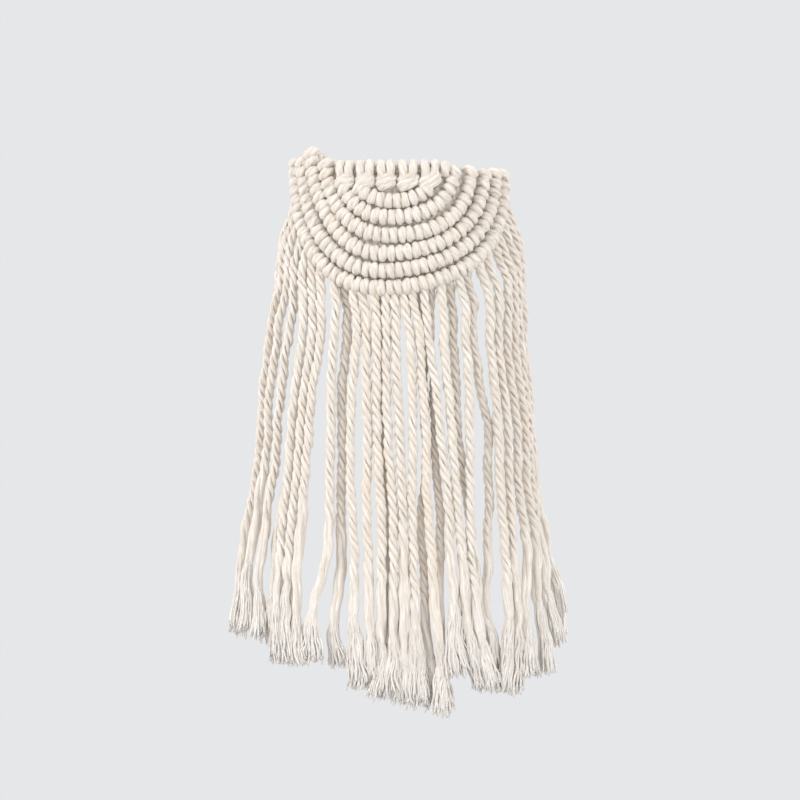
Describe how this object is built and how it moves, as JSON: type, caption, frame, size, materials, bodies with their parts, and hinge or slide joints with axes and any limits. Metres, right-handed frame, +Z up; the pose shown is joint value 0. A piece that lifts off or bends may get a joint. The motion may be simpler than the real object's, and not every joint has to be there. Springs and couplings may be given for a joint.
{
  "type": "curtain tieback tassel",
  "caption": "Half-moon curtain tieback of knotted cotton cord with a long twisted fringe, held at the back by two cord loops.",
  "frame": {"origin": "centre of the two loops at the back, where the tieback hangs on its hook", "axes": "+X to the right seen from the front, -Y to the front, +Z up; the fringe hangs along -Z"},
  "size_m": [0.1536, 0.1093, 0.2563],
  "materials": {
    "knotted_cotton": "unbleached three-ply cotton cord, knotted, matt",
    "fringe_cotton": "unbleached three-ply cotton cord, hanging and combed out at its tips, matt",
    "cord_cotton": "unbleached twisted cotton cord, matt"
  },
  "bodies": {
    "root": {"knotted_panel": "knotted_cotton", "fringe": "fringe_cotton", "tie_cord_left": "cord_cotton", "tie_cord_right": "cord_cotton"}
  },
  "joints": []
}
